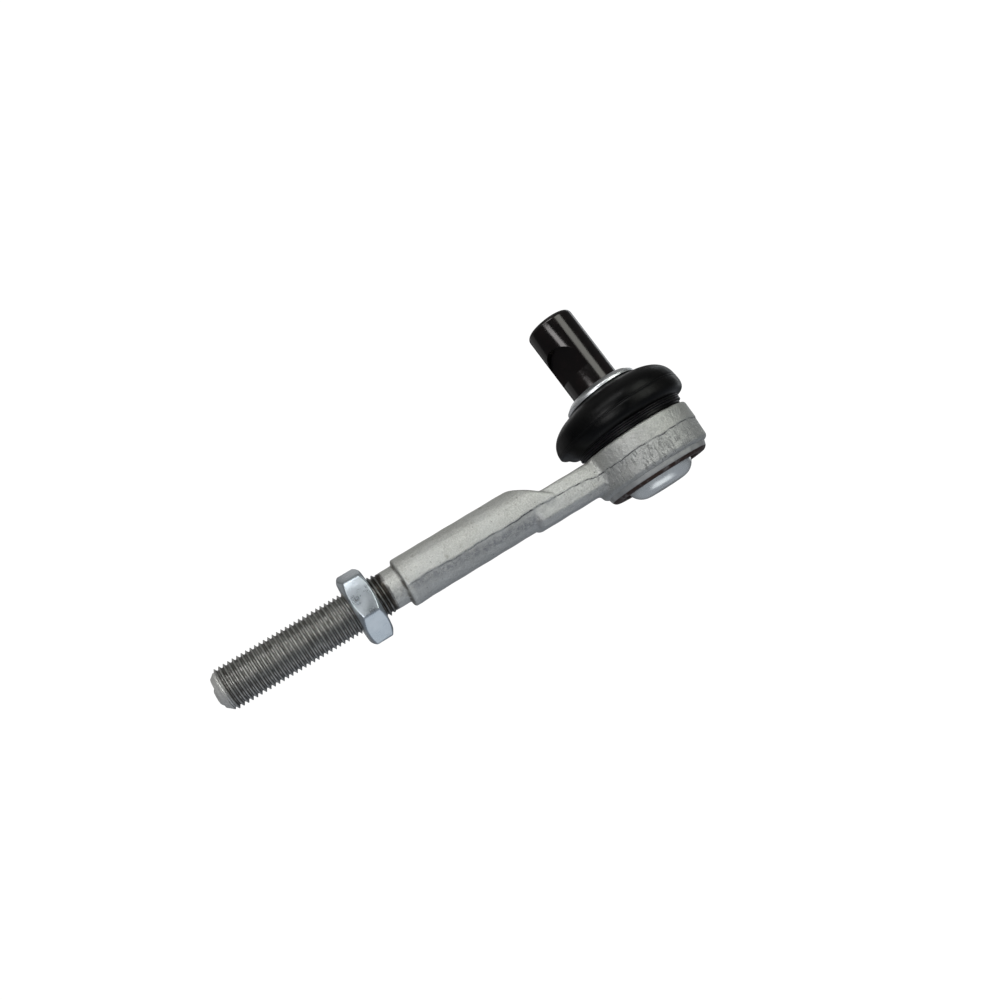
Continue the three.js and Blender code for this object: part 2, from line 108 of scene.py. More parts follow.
# Pin, lengths from the ball's centre along its axis
PIN_RADIUS = 8.5
PIN_LENGTH = 52.0
BALL_RADIUS = 11.0
STEM_RADIUS = 6.0
STEM_TOP = 12.0
CONE_TOP = 16.5
POCKET_BOTTOM = 31.0
POCKET_HEIGHT = 11.4
POCKET_FLOOR = 5.1            # from the pin's axis
POCKET_DIRECTION = -145.0     # degrees from +X toward +Y

# Boot, rings and washer
BOOT_BULGE_RADIUS = 22.85
BOOT_BULGE_HEIGHT = 12.1
BOOT_WALL = 1.8
BOOT_SQUEEZE = 0.9            # extra bulge on the side the pin leans to
BOOT_SAG = 1.4                # and how far it hangs down there
BEAD_INNER = 15.9
BEAD_OUTER = 18.3
BEAD_BOTTOM = 5.4
BEAD_TOP = 8.6
RING_WIRE = 0.7
RING_TURNS = 3
WASHER_TOP = 24.4
WASHER_THICKNESS = 1.2
WASHER_HOLE = 8.62
WASHER_SEAT = 10.8
WASHER_RADIUS = 13.1
WASHER_DISH = 1.6
BOOT_COLLAR_INNER = 8.62

# Nut
NUT_START = 46.0
NUT_WIDTH = 8.0
NUT_FLATS = 22.0
NUT_FACE_RADIUS = 10.3
NUT_BORE = 7.3
NUT_DROP = -0.2               # it hangs in the thread's play
NUT_CORNER = 18.3             # degrees below -Y
NUT_CORNER_ROUND = 0.8
NUT_CHAMFER_ANGLE = 30
NUT_COUNTERSINK = 0.75
CUT_OVERRUN = 1               # cutters run past the faces they cut

JOINTS = {j["name"]: j for j in frame["record"]["behaviour"]["joints"]}
BALL = Vector(JOINTS["swing"]["pos_m"]) / MM
TILT_AXIS = Vector(JOINTS["swing"]["axis"]).normalized()
PIN_AXIS = Vector(JOINTS["pin_spin"]["axis"]).normalized()
REST_TILT = Vector((0, 0, 1)).angle(PIN_AXIS)

TO_BALL = Matrix.Translation(BALL)
TO_PIN = TO_BALL @ Matrix.Rotation(REST_TILT, 4, TILT_AXIS)
ABOUT_X = Matrix(((0, 0, 1, 0), (1, 0, 0, 0), (0, 1, 0, 0), (0, 0, 0, 1)))

# The die's parting line: its two heights, and the length past the ramp that it takes to change
PARTING_SHANK = -2.4
PARTING_HOUSING = -3.8
PARTING_CHANGE = 22.0
# Its waves: size, then radians per mm along X and along Y, then phase
PARTING_WAVES = ((0.20, 0.35, 0.0, 1.2), (0.16, 0.1, 0.62, 0.4), (0.09, 1.1, 0.5, 2.0))

# Marks on the forging, with the stretch of X over which each one comes or goes
CRACK_COMES = (88, 106)
SMEAR_GOES = (106, 114)
SCAR_COMES = (118, 140)
RIDGE_START = 66
HOUSING_TINT_COMES = (131, 137)
SMEAR_FALL = 0.055            # the dark smear on the shank drops by this much per mm
SMEAR_UNDER = 0.7             # and starts this much under the parting line


# ---------------- mesh helpers

def add_object(name, data):
    thing = bpy.data.objects.new(name, data)
    bpy.context.scene.collection.objects.link(thing)
    return thing


def new_piece(name, points, faces, place=None, smooth_angle=35):
    """A mesh object from points in millimetres, moved by place and scaled to metres."""
    place = Matrix.Scale(MM, 4) @ (place or Matrix())
    mesh = bpy.data.meshes.new(name)
    flat = np.asarray(points, float) @ np.array(place.to_3x3()).T + np.array(place.translation)
    mesh.from_pydata(flat.tolist(), [], faces)
    mesh.validate()
    piece = add_object(name, mesh)
    tidy(piece, smooth_angle)
    return piece


def tidy(piece, smooth_angle):
    """Outward faces, smooth shading, and sharp edges above an angle."""
    work = bmesh.new()
    work.from_mesh(piece.data)
    bmesh.ops.remove_doubles(work, verts=work.verts, dist=1e-7)
    bmesh.ops.dissolve_degenerate(work, edges=work.edges, dist=1e-8)
    bmesh.ops.recalc_face_normals(work, faces=work.faces)
    limit = math.radians(smooth_angle)
    for face in work.faces:
        face.smooth = True
    for edge in work.edges:
        edge.smooth = not (edge.is_manifold and edge.calc_face_angle(0) > limit)
    work.to_mesh(piece.data)
    work.free()


def apply_modifiers(piece):
    """Bakes the modifiers into the mesh."""
    depsgraph = bpy.context.evaluated_depsgraph_get()
    mesh = bpy.data.meshes.new_from_object(piece.evaluated_get(depsgraph))
    piece.modifiers.clear()
    piece.data = mesh


def rounded(profile, radius, steps=4, ends=False):
    """The same profile with its corners cut by short arcs; a radius of 0 keeps a corner."""
    radii = radius if isinstance(radius, (list, tuple)) else [radius] * len(profile)
    count = len(profile)
    result = []
    for i in range(count):
        corner = Vector(profile[i])
        if not ends and i in (0, count - 1):
            result.append(tuple(corner))
            continue
        before = Vector(profile[i - 1]) - corner
        after = Vector(profile[(i + 1) % count]) - corner
        reach = min(radii[i], before.length * 0.45, after.length * 0.45)
        if reach < 1e-4:
            result.append(tuple(corner))
            continue
        start = corner + before.normalized() * reach
        end = corner + after.normalized() * reach
        for k in range(steps + 1):
            t = k / steps
            point = start * (1 - t) ** 2 + corner * 2 * t * (1 - t) + end * t ** 2
            result.append(tuple(point))
    return result


def turned(name, profile, sides=128, place=None, closed=False, smooth_angle=35):
    """A profile of (radius, height) turned about Z."""
    points, faces, rows = [], [], []
    for radius, height in profile:
        if radius < 1e-6:
            rows.append([len(points)] * sides)
            points.append((0, 0, height))
            continue
        rows.append(list(range(len(points), len(points) + sides)))
        for k in range(sides):
            angle = 2 * math.pi * k / sides
            points.append((radius * math.cos(angle), radius * math.sin(angle), height))
    pairs = list(zip(rows, rows[1:]))
    if closed:
        pairs.append((rows[-1], rows[0]))
    for low, high in pairs:
        for k in range(sides):
            n = (k + 1) % sides
            corners = [low[k], low[n], high[n], high[k]]
            face = list(dict.fromkeys(corners))
            if len(face) > 2:
                faces.append(face)
    return new_piece(name, points, faces, place, smooth_angle)


def prism(name, outline, depth, place=None):
    """A closed outline in the XY plane, pushed up along +Z."""
    count = len(outline)
    points = [(x, y, 0) for x, y in outline] + [(x, y, depth) for x, y in outline]
    faces = [list(range(count))[::-1], list(range(count, 2 * count))]
    faces += [[k, (k + 1) % count, count + (k + 1) % count, count + k] for k in range(count)]
    return new_piece(name, points, faces, place)


def boolean(piece, other, operation):
    """Cuts with another mesh, or keeps what is in it, and removes that mesh."""
    modifier = piece.modifiers.new(operation.title(), "BOOLEAN")
    modifier.operation = operation
    modifier.solver = "EXACT"
    modifier.object = other
    apply_modifiers(piece)
    bpy.data.objects.remove(other)


def bevel(piece, width, angle):
    """Rounds the edges that turn by more than an angle, in degrees."""
    modifier = piece.modifiers.new("Bevel", "BEVEL")
    modifier.width = width * MM
    modifier.segments = 3
    modifier.limit_method = "ANGLE"
    modifier.angle_limit = math.radians(angle)
    apply_modifiers(piece)


def grid_faces(rows, sides):
    """Quads between neighbouring rings of points."""
    faces = []
    for i in range(rows - 1):
        low, high = i * sides, (i + 1) * sides
        for k in range(sides):
            n = (k + 1) % sides
            faces.append([low + k, high + k, high + n, low + n])
    return faces


def arc(cx, cy, radius, start, end, steps):
    """Points on an arc, from one angle to another, in degrees."""
    angles = [math.radians(start + (end - start) * k / steps) for k in range(steps + 1)]
    return [(cx + radius * math.cos(a), cy + radius * math.sin(a)) for a in angles]


# ---------------- materials

class Look:
    """A small builder for one procedural material, in object coordinates in millimetres."""

    def __init__(self, name):
        self.material = bpy.data.materials.new(name)
        self.material.use_nodes = True
        self.tree = self.material.node_tree
        self.shader = self.tree.nodes["Principled BSDF"]
        coordinates = self.tree.nodes.new("ShaderNodeTexCoord")
        scale = self.tree.nodes.new("ShaderNodeVectorMath")
        scale.operation = "SCALE"
        scale.inputs["Scale"].default_value = 1 / MM
        self.link(coordinates.outputs["Object"], scale.inputs[0])
        self.place = scale.outputs[0]

    def link(self, source, target):
        self.tree.links.new(source, target)

    def set(self, **values):
        for key, value in values.items():
            self.shader.inputs[key.replace("_", " ")].default_value = value

    def stretched(self, factors, shift=(0, 0, 0)):
        mapping = self.tree.nodes.new("ShaderNodeMapping")
        mapping.inputs["Scale"].default_value = factors
        mapping.inputs["Location"].default_value = shift
        self.link(self.place, mapping.inputs["Vector"])
        return mapping.outputs[0]

    def noise(self, scale, detail=4, roughness=0.55, place=None, distortion=0):
        node = self.tree.nodes.new("ShaderNodeTexNoise")
        node.inputs["Scale"].default_value = scale
        node.inputs["Detail"].default_value = detail
        node.inputs["Roughness"].default_value = roughness
        node.inputs["Distortion"].default_value = distortion
        self.link(place or self.place, node.inputs["Vector"])
        return node.outputs["Fac"]

    def cells(self, scale):
        node = self.tree.nodes.new("ShaderNodeTexVoronoi")
        node.inputs["Scale"].default_value = scale
        self.link(self.place, node.inputs["Vector"])
        return node.outputs["Distance"]

    def ramp(self, value, low, high, to_low=0.0, to_high=1.0):
        """A smooth step of the value, from one level to another."""
        node = self.tree.nodes.new("ShaderNodeMapRange")
        node.interpolation_type = "SMOOTHSTEP"
        node.inputs["From Min"].default_value = low
        node.inputs["From Max"].default_value = high
        node.inputs["To Min"].default_value = to_low
        node.inputs["To Max"].default_value = to_high
        self.link(value, node.inputs["Value"])
        return node.outputs["Result"]

    def math(self, operation, first, second=None):
        node = self.tree.nodes.new("ShaderNodeMath")
        node.operation = operation
        for socket, value in zip(node.inputs, (first, second)):
            if value is None:
                continue
            if isinstance(value, (int, float)):
                socket.default_value = value
            else:
                self.link(value, socket)
        return node.outputs[0]

    def mix(self, factor, first, second):
        """A mix of two colours; the node's inputs 6 and 7 and its output 2 are colours."""
        node = self.tree.nodes.new("ShaderNodeMix")
        node.data_type = "RGBA"
        sockets = (node.inputs[0], node.inputs[6], node.inputs[7])
        for socket, value in zip(sockets, (factor, first, second)):
            if isinstance(value, (int, float)):
                socket.default_value = value
            elif isinstance(value, tuple):
                socket.default_value = (*value, 1.0)
            else:
                self.link(value, socket)
        return node.outputs[2]

    def axis(self, name):
        node = self.tree.nodes.new("ShaderNodeSeparateXYZ")
        self.link(self.place, node.inputs[0])
        return node.outputs[name]

    def product(self, first, second):
        return self.math("MULTIPLY", first, second)

    def from_axis_x(self):
        """Distance from the X axis, in millimetres."""
        y, z = self.axis("Y"), self.axis("Z")
        square = self.math("ADD", self.product(y, y), self.product(z, z))
        return self.math("SQRT", square)

    def bump(self, height, distance, previous=None, strength=1.0):
        node = self.tree.nodes.new("ShaderNodeBump")
        node.inputs["Distance"].default_value = distance * MM
        node.inputs["Strength"].default_value = strength
        self.link(height, node.inputs["Height"])
        if previous is not None:
            self.link(previous, node.inputs["Normal"])
        return node.outputs[0]

    def finish(self, colour=None, roughness=None, normal=None):
        sockets = {"Base Color": colour, "Roughness": roughness, "Normal": normal}
        for name, value in sockets.items():
            if value is not None:
                self.link(value, self.shader.inputs[name])
        return self.material


def parting_distance(look):
    """Node version of the height above the forging's parting line, in millimetres."""
    changed = RAMP_END + PARTING_CHANGE
    height = look.ramp(look.axis("X"), RAMP_END, changed, PARTING_SHANK, PARTING_HOUSING)
    for size, along, across, phase in PARTING_WAVES:
        turn = look.math("MULTIPLY_ADD", look.axis("X"), along)
        turn.node.inputs[2].default_value = phase
        turn = look.math("ADD", turn, look.product(look.axis("Y"), across))
        height = look.math("ADD", height, look.product(look.math("SINE", turn), size))
    return look.math("SUBTRACT", look.axis("Z"), height)


def painted_shoulder_shade(look):
    """Painted shade: a dark brownish line in the corner between the neck and the shank."""
    away = look.math("ABSOLUTE", look.math("SUBTRACT", look.axis("X"), SHANK_START - 1.2))
    patches = look.ramp(look.noise(0.4, 3, 0.6), 0.35, 0.6, 0.25, 0.8)
    return look.product(look.ramp(away, 0.15, 0.7, 1, 0), patches)


def parting_crack(look, parting, lumps):
    """The broken dark line that follows the parting line."""
    away = look.math("ABSOLUTE", look.math("ADD", parting, look.math("SUBTRACT", lumps, 0.5)))
    crack = look.ramp(away, 0.06, 0.24, 1, 0)
    crack = look.product(crack, look.ramp(look.noise(0.28, 4, 0.6), 0.40, 0.52, 0.15, 0.9))
    return look.product(crack, look.ramp(look.axis("X"), *CRACK_COMES, 0.45, 1.0))


def shank_smear(look):
    """The blotchy dark smear along the shank's lower half."""
    along = look.product(look.math("SUBTRACT", look.axis("X"), SHANK_START), SMEAR_FALL)
    level = look.math("ADD", look.math("SUBTRACT", look.axis("Z"), PARTING_SHANK - SMEAR_UNDER), along)
    smear = look.ramp(look.math("ABSOLUTE", level), 0.3, 2.0, 0.6, 0)
    smear = look.product(smear, look.ramp(look.noise(0.9, 6, 0.75), 0.42, 0.58, 0.15, 1.0))
    return look.product(smear, look.ramp(look.axis("X"), *SMEAR_GOES, 1.0, 0.0))


def trimming_scars(look, below):
    """Long gouges under the parting line, strongest on the housing."""
    gouges = look.noise(0.9, 5, 0.65, look.stretched((1.5, 1.5, 0.4), (5, 2, 1)), 0.5)
    scars = look.product(look.ramp(gouges, 0.52, 0.66), below)
    return look.product(scars, look.ramp(look.axis("X"), *SCAR_COMES, 0.3, 1.0))


def forging_look():
    look = Look("forging")
    look.set(Metallic=0.85)
    grain = look.noise(2.2, 6, 0.65)
    fine = look.noise(7.0, 3, 0.6)
    broad = look.noise(0.09, 3, 0.5)
    lumps = look.noise(0.55, 4, 0.55)
    stain = look.ramp(look.noise(0.35, 5, 0.6), 0.60, 0.70, 0, 0.45)
    specks = look.ramp(look.noise(1.3, 2, 0.5), 0.70, 0.75, 0, 0.8)
    parting = parting_distance(look)
    forged = look.ramp(look.axis("X"), SHANK_START, SHANK_START + 1.5)
    below = look.product(look.ramp(parting, -0.2, 0.2, 1, 0), forged)
    smear = shank_smear(look)
    scars = trimming_scars(look, below)
    crack = look.product(parting_crack(look, parting, lumps), forged)
    on_housing = look.ramp(look.axis("X"), *HOUSING_TINT_COMES, 0, 0.45)

    colour = look.mix(look.ramp(grain, 0.3, 0.7), (0.47, 0.475, 0.455), (0.65, 0.655, 0.63))
    colour = look.mix(look.ramp(broad, 0.4, 0.65, 0, 0.45), colour, (0.62, 0.63, 0.62))
    colour = look.mix(stain, colour, (0.30, 0.285, 0.25))
    # painted shade in the corner between the neck and the shank
    colour = look.mix(painted_shoulder_shade(look), colour, (0.12, 0.105, 0.09))
    colour = look.mix(specks, colour, (0.12, 0.115, 0.105))
    colour = look.mix(on_housing, colour, (0.37, 0.375, 0.36))
    colour = look.mix(look.product(smear, forged), colour, (0.17, 0.175, 0.21))
    colour = look.mix(crack, colour, (0.06, 0.058, 0.06))
    # painted shade: below the parting line the forging is a little darker and bluer
    colour = look.mix(look.product(below, 0.22), colour, (0.36, 0.37, 0.39))
    colour = look.mix(look.product(scars, 0.4), colour, (0.20, 0.20, 0.20))

    normal = look.bump(grain, 0.06)
    normal = look.bump(fine, 0.02, normal)
    normal = look.bump(lumps, 0.38, normal)
    normal = look.bump(look.ramp(look.cells(0.9), 0.0, 0.25), 0.03, normal)
    normal = look.bump(look.product(scars, -1), 0.13, normal)
    normal = look.bump(look.product(smear, -1), 0.10, normal)
    return look.finish(colour, look.ramp(grain, 0.3, 0.7, 0.64, 0.50), normal)


def thread_look():
    """Painted shade and grime in the roots, which leave the crests bright, and more grime near the tip
    and near the neck.
    """
    look = Look("thread_steel")
    look.set(Metallic=0.9)
    grime = look.noise(0.35, 5, 0.65)
    streaks = look.noise(1.2, 5, 0.6, look.stretched((0.5, 2.0, 2.0)))
    along = look.axis("X")
    face = look.ramp(along, TIP_CHAMFER - 0.7, TIP_CHAMFER, 1, 0)
    past_face = look.ramp(along, TIP_CHAMFER - 0.2, TIP_CHAMFER + 0.6)
    root_shade_and_grime = look.product(look.ramp(look.from_axis_x(), 6.25, 6.75, 0.95, 0), past_face)
    near_tip = look.product(look.ramp(along, 3.0, 9.0, 0.12, 0.0), past_face)
    near_end = look.ramp(along, THREAD_LENGTH - 5, THREAD_LENGTH - 0.4, 0.0, 0.9)
    before_neck = look.ramp(along, THREAD_LENGTH - 0.2, THREAD_LENGTH + 0.6, 1.0, 0.0)
    near = look.product(look.math("MAXIMUM", near_tip, near_end), before_neck)
    dirt_and_root_shade = look.product(look.math("ADD", root_shade_and_grime, near), look.ramp(grime, 0.35, 0.6, 0.6, 1.0))
    dirt_and_root_shade = look.math("MINIMUM", look.product(dirt_and_root_shade, 0.8), 1.0)

    colour = look.mix(look.ramp(streaks, 0.3, 0.7), (0.44, 0.44, 0.43), (0.66, 0.66, 0.64))
    # painted shade and grime in the thread's roots, and grime near the tip and the neck
    colour = look.mix(dirt_and_root_shade, colour, (0.060, 0.053, 0.045))
    colour = look.mix(look.product(face, 0.8), colour, (0.70, 0.70, 0.68))
    rough = look.ramp(streaks, 0.3, 0.7, 0.27, 0.38)
    rough = look.math("ADD", rough, look.product(face, 0.25))
    rough = look.math("ADD", rough, look.ramp(along, 2.0, 7.0, 0.12, 0.0))
    normal = look.bump(look.noise(5.0, 4, 0.6), 0.006)
    normal = look.bump(streaks, 0.02, normal)
    return look.finish(colour, rough, normal)


def worn_metal(name, light, dark, rough_low, rough_high, cloud=0.25):
    """Satin metal: a cloudy surface with scuffs and small dents. Gives the look, not the material."""
    look = Look(name)
    look.set(Metallic=0.95)
    cloudy = look.noise(cloud, 4, 0.6)
    fine = look.noise(3.0, 5, 0.6)
    scuff = look.noise(0.8, 6, 0.7, look.stretched((1.0, 0.35, 1.6), (3, 7, 1)), 0.4)
    colour = look.mix(look.ramp(cloudy, 0.3, 0.7), dark, light)
    scuffed = tuple(0.45 * c for c in dark)
    colour = look.mix(look.ramp(scuff, 0.62, 0.72, 0, 0.25), colour, scuffed)
    uneven = look.math("ADD", cloudy, look.product(fine, 0.4))
    rough = look.ramp(uneven, 0.45, 0.95, rough_low, rough_high)
    normal = look.bump(fine, 0.004)
    normal = look.bump(look.ramp(scuff, 0.5, 0.8), 0.010, normal)
    look.finish(colour, rough, normal)
    return look


def washer_look():
    look = Look("zinc_washer")
    look.set(Metallic=0.95, Anisotropic=0.4)
    rings = look.noise(1.0, 5, 0.6, look.stretched((0.15, 0.15, 9.0)))
    cloudy = look.noise(0.3, 4, 0.5)
    colour = look.mix(look.ramp(cloudy, 0.3, 0.7), (0.70, 0.73, 0.75), (0.86, 0.88, 0.89))
    rough = look.ramp(rings, 0.3, 0.7, 0.24, 0.38)
    return look.finish(colour, rough, look.bump(rings, 0.05))


def pin_look():
    look = Look("black_pin")
    look.set(Metallic=0.0, Specular_IOR_Level=0.6, Specular_Tint=(1.0, 0.96, 0.96, 1))
    cloudy = look.noise(0.22, 4, 0.6)
    turning = look.noise(1.0, 4, 0.55, look.stretched((0.2, 0.2, 8.0)))
    specks = look.noise(4.0, 3, 0.6)
    colour = look.mix(look.ramp(cloudy, 0.35, 0.7), (0.0010, 0.0007, 0.0008), (0.004, 0.0018, 0.0018))
    colour = look.mix(look.ramp(specks, 0.71, 0.76, 0, 0.35), colour, (0.05, 0.045, 0.04))
    rough = look.ramp(look.math("ADD", cloudy, turning), 0.8, 1.2, 0.10, 0.18)
    normal = look.bump(turning, 0.012)
    normal = look.bump(specks, 0.006, normal)
    return look.finish(colour, rough, normal)


def rubber_look():
    look = Look("boot_rubber")
    look.set(Metallic=0.0, Specular_IOR_Level=0.14)
    cloudy = look.noise(0.16, 5, 0.6)
    fine = look.noise(5.0, 4, 0.6)
    dust = look.noise(1.1, 6, 0.75)
    colour = look.mix(look.ramp(cloudy, 0.35, 0.7), (0.0006, 0.0008, 0.0010), (0.0020, 0.0020, 0.0020))
    colour = look.mix(look.ramp(dust, 0.73, 0.78, 0, 0.4), colour, (0.06, 0.056, 0.05))
    rough = look.ramp(look.math("ADD", cloudy, look.product(fine, 0.3)), 0.4, 0.9, 0.26, 0.44)
    normal = look.bump(fine, 0.02)
    normal = look.bump(cloudy, 0.5, normal, 0.35)
    return look.finish(colour, rough, normal)


def wire_look():
    look = Look("ring_wire")
    look.set(Metallic=0.7)
    wear = look.noise(1.5, 5, 0.6)
    colour = look.mix(look.ramp(wear, 0.5, 0.75), (0.008, 0.008, 0.009), (0.05, 0.048, 0.045))
    return look.finish(colour, look.ramp(wear, 0.3, 0.7, 0.3, 0.5), look.bump(wear, 0.02))


def seat_look():
    look = Look("seat_plastic")
    look.set(Metallic=0.0)
    cloudy = look.noise(0.3, 4, 0.5)
    fine = look.noise(6.0, 3, 0.5)
    colour = look.mix(look.ramp(cloudy, 0.3, 0.7), (0.70, 0.66, 0.56), (0.80, 0.77, 0.69))
    return look.finish(colour, look.ramp(fine, 0.3, 0.7, 0.4, 0.55), look.bump(fine, 0.02))


def spring_look():
    look = Look("spring_steel")
    look.set(Metallic=0.95)
    brushed = look.noise(2.0, 5, 0.6)
    colour = look.mix(look.ramp(brushed, 0.3, 0.7), (0.16, 0.17, 0.18), (0.3, 0.31, 0.33))
    return look.finish(colour, look.ramp(brushed, 0.3, 0.7, 0.28, 0.42), look.bump(brushed, 0.02))


def lip_look():
    """Dull steel, with a brown line where the lip is rolled over the cover."""
    look = worn_metal("lip_steel", (0.56, 0.565, 0.555), (0.42, 0.425, 0.42), 0.52, 0.66)
    x = look.math("SUBTRACT", look.axis("X"), BALL.x)
    y = look.axis("Y")
    around = look.math("SQRT", look.math("ADD", look.product(x, x), look.product(y, y)))
    lowest = BALL.z + LIP_BOTTOM
    inner = look.ramp(around, 16.6, 17.1, 1, 0)
    under = look.ramp(look.axis("Z"), lowest + 0.95, lowest + 1.3, 1, 0)
    patches = look.ramp(look.noise(0.5, 4, 0.6), 0.3, 0.5, 0.75, 1.0)
    edge = look.product(look.math("MAXIMUM", inner, under), patches)
    base = look.shader.inputs["Base Color"].links[0].from_socket
    return look.finish(look.mix(edge, base, (0.060, 0.038, 0.032)))


LOOKS = {
    "forging": forging_look(),
    "thread": thread_look(),
    "zinc_nut": worn_metal("zinc_nut", (0.56, 0.61, 0.65), (0.44, 0.49, 0.53), 0.25, 0.36).material,
    "zinc_cover": worn_metal("zinc_cover", (0.84, 0.86, 0.85), (0.70, 0.72, 0.71), 0.20, 0.32,
                             cloud=0.1).material,
    "lip_steel": lip_look(),
    "zinc_washer": washer_look(),
    "black_pin": pin_look(),
    "boot_rubber": rubber_look(),
    "ring_wire": wire_look(),
    "seat_plastic": seat_look(),
    "spring_steel": spring_look(),
}


def dress(piece, look, body, slot_name, *nodes):
    """Gives a piece its material and its body, and hides the CAD nodes it stands for; slot_name is not
    used.
    """
    piece.data.materials.clear()
    piece.data.materials.append(LOOKS[look])
    if body:
        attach(piece, body)
    if nodes:
        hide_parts(*nodes)


# ---------------- forging

def soft_max(a, b, width):
    """The larger of two, with the corner between them rounded over a width."""
    share = np.clip(0.5 + 0.5 * (a - b) / width, 0, 1)
    return b * (1 - share) + a * share + width * share * (1 - share)


def soft_min(a, b, width):
    """The smaller of two, with the corner between them filled over a width."""
    return -soft_max(-a, -b, width)


def ripple(x, y, z, length, phase):
    """A slow, repeatable unevenness between about -1 and 1."""
    k = 2 * math.pi / length
    return (np.sin(k * x + 1.7 * np.sin(k * 0.6 * y + phase)) * 0.5
            + np.sin(k * 1.31 * y + 2.1 * np.sin(k * 0.53 * z - phase)) * 0.3
            + np.sin(k * 0.87 * z + 1.3 * np.sin(k * 0.71 * x + 2 * phase)) * 0.2)


def parting_height(x, y):
    """Height of the die's parting line along the forging."""
    share = np.clip((x - RAMP_END) / PARTING_CHANGE, 0, 1)
    share = share * share * (3 - 2 * share)
    height = PARTING_SHANK + (PARTING_HOUSING - PARTING_SHANK) * share
    for size, along, across, phase in PARTING_WAVES:
        height = height + size * np.sin(along * x + across * y + phase)
    return height


def shank_distance(x, y, z, parting):
    """The thin neck and the round shank, with its ramp down to the web."""
    depth = z + SHANK_DROP
    above = np.clip(parting / 0.3 + 0.5, 0, 1)
    depth = np.where(depth < 0, depth * (1 - above), depth)
    radial = np.sqrt(y * y + depth * depth)
    first = SHANK_START - 0.9
    shank = soft_max(radial - SHANK_RADIUS, first - x, 1.0)
    shank = soft_max(shank, x - RAMP_END - 3, 1.0)
    slope = (SHANK_RADIUS - SHANK_DROP - WEB_TOP) / (RAMP_END - SHANK_END)
    foot = RAMP_END - 0.8
    ramp = (z - WEB_TOP - (foot - x) * slope) / math.hypot(1, slope)
    shank = soft_max(shank, ramp, 1.2)
    neck = np.maximum(np.sqrt(y * y + z * z) - NECK_RADIUS, THREAD_LENGTH + 0.7 - x)
    neck = np.maximum(neck, x - SHANK_START - 2)
    return soft_min(neck, shank, 0.9)


def web_distance(x, y, z, parting):
    """The flat web, with a drafted side above the parting line and a chamfer at the bottom."""
    half = np.abs(y)
    upper = 0.98 * (half - WEB_HALF) + 0.20 * parting
    lower = half - WEB_HALF
    flats = soft_max(z - WEB_TOP, WEB_BOTTOM - z, 0.5)
    web = soft_max(soft_max(upper, lower, 0.5), flats, 1.5)
    chamfer = 0.62 * (half - WEB_HALF + WEB_CHAMFER) - 0.78 * (z - WEB_BOTTOM)
    web = soft_max(web, chamfer, 0.5)
    web = soft_max(web, SHANK_END - x + 0.5, 3.0)
    return soft_max(web, x - BALL.x, 0.5)


def housing_distance(around, h):
    """The drafted ring round the ball, down to its step above the lip."""
    draft = HOUSING_RADIUS - 0.04 * np.maximum(h + PARTING_DROP, 0)
    housing = soft_max(around - draft, h - HOUSING_TOP, 1.2)
    step_edge = 0.8 * (HOUSING_STEP - h) + 0.6 * (around - HOUSING_RADIUS + 0.7)
    housing = soft_max(housing, step_edge, 0.7)
    return soft_max(housing, HOUSING_STEP - 0.6 - h, 0.5)


def forging_distance(x, y, z):
    """Signed distance, roughly, to the forging's surface; negative inside."""
    parting = z - parting_height(x, y)
    around = np.sqrt((x - BALL.x) ** 2 + y * y)
    h = z - BALL.z
    body = soft_min(shank_distance(x, y, z, parting), web_distance(x, y, z, parting), 0.7)
    body = soft_min(body, housing_distance(around, h), 1.6)
    body = soft_max(body, np.where(x > RAMP_END, h - HOUSING_TOP, -9.0), 0.5)

    mismatch = 1 - np.clip(parting / 0.25, -1, 1)
    groove = np.exp(-(parting / 0.2) ** 2)
    body = body + (0.10 * mismatch + 0.12 * groove) * np.clip((x - RIDGE_START) / 4, 0, 1)
    body = body - 0.07 * ripple(x, y, z, 9.0, 0.4) * np.clip((x - RIDGE_START) / 6, 0, 1)

    collar = np.maximum(around - COLLAR_RADIUS, np.maximum(h - COLLAR_TOP, -h))
    body = np.minimum(body, collar)
    throat = THROAT_RADIUS + np.clip(h - THROAT_FLARE_START, 0, 9) * THROAT_FLARE
    bore = np.where(h < BORE_TOP, BORE_RADIUS, throat)
    bore = np.where(h < RECESS_TOP, RECESS_RADIUS, bore)
    return np.maximum(body, bore - around)


